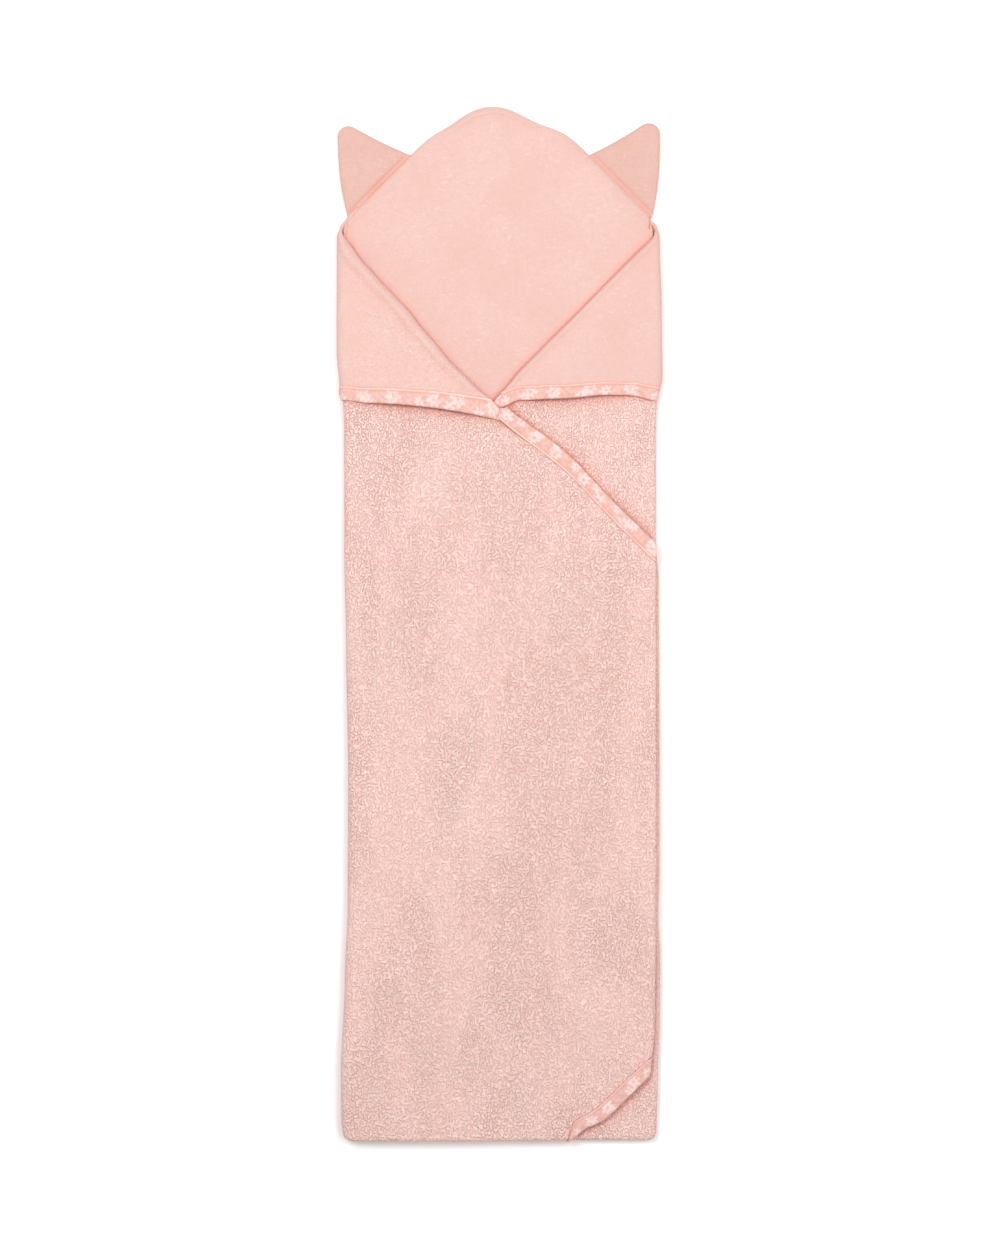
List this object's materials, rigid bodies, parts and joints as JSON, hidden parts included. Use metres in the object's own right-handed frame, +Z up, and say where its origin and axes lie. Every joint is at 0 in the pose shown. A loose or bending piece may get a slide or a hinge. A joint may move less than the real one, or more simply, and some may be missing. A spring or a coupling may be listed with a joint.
{
  "type": "hooded baby towel",
  "caption": "Square terry baby towel with a corner hood, two sewn ears and printed edge binding, folded lengthwise into a flat bundle whose top side opens.",
  "frame": {"origin": "middle of the folded bundle on the surface it lies on", "axes": "+X to the side that the open edge of the wing faces, +Y along the bundle towards the hood's rounded point, +Z up from the surface"},
  "size_m": [0.236, 0.755, 0.0167],
  "materials": {
    "terry": "fine pale pink cotton terry loops, matt",
    "knit": "smooth pale pink cotton velour, matt",
    "binding": "salmon bias tape with small white flowers",
    "thread": "pink cotton sewing thread"
  },
  "bodies": {
    "towel": {"back_panel": "terry", "hood_back": "knit", "hood_back_binding": "binding", "bottom_turnup": "terry", "bottom_turnup_binding": "binding", "right_fold": "terry", "left_fold_lower": "terry", "right_panel": "terry", "right_panel_upper_binding": "binding", "right_panel_lower_binding": "binding", "right_tail": "terry", "right_tail_binding": "binding", "right_turnup": "terry", "right_turnup_binding": "binding", "right_hood_flap": "knit", "right_hood_binding": "binding", "right_hood_stitching": "thread"},
    "left_wing": {"left_fold_upper": "terry", "left_panel": "terry", "left_panel_upper_binding": "binding", "left_panel_lower_binding": "binding", "left_tail": "terry", "left_tail_binding": "binding", "left_turnup": "terry", "left_turnup_binding": "binding", "left_hood_flap": "knit", "left_hood_binding": "binding", "left_hood_stitching": "thread", "left_panel_upper_stitching": "thread", "left_panel_lower_stitching": "thread"},
    "left_ear": {"left_ear_back": "knit", "left_ear_front": "knit"},
    "right_ear": {"right_ear_back": "knit", "right_ear_front": "knit"}
  },
  "joints": [
    {"name": "left_wing_fold", "type": "hinge", "parent": "towel", "child": "left_wing", "pos_m": [-0.11815, 0, 0.00835], "axis": [0, -1, 0], "range_deg": [0, 179]},
    {"name": "left_ear_seam", "type": "hinge", "parent": "towel", "child": "left_ear", "pos_m": [-0.09026, 0.32208, 0.00235], "axis": [0.7071, 0.7071, 0], "range_deg": [-90, 90]},
    {"name": "right_ear_seam", "type": "hinge", "parent": "towel", "child": "right_ear", "pos_m": [0.09026, 0.32208, 0.00235], "axis": [0.7071, -0.7071, 0], "range_deg": [-90, 90]}
  ]
}
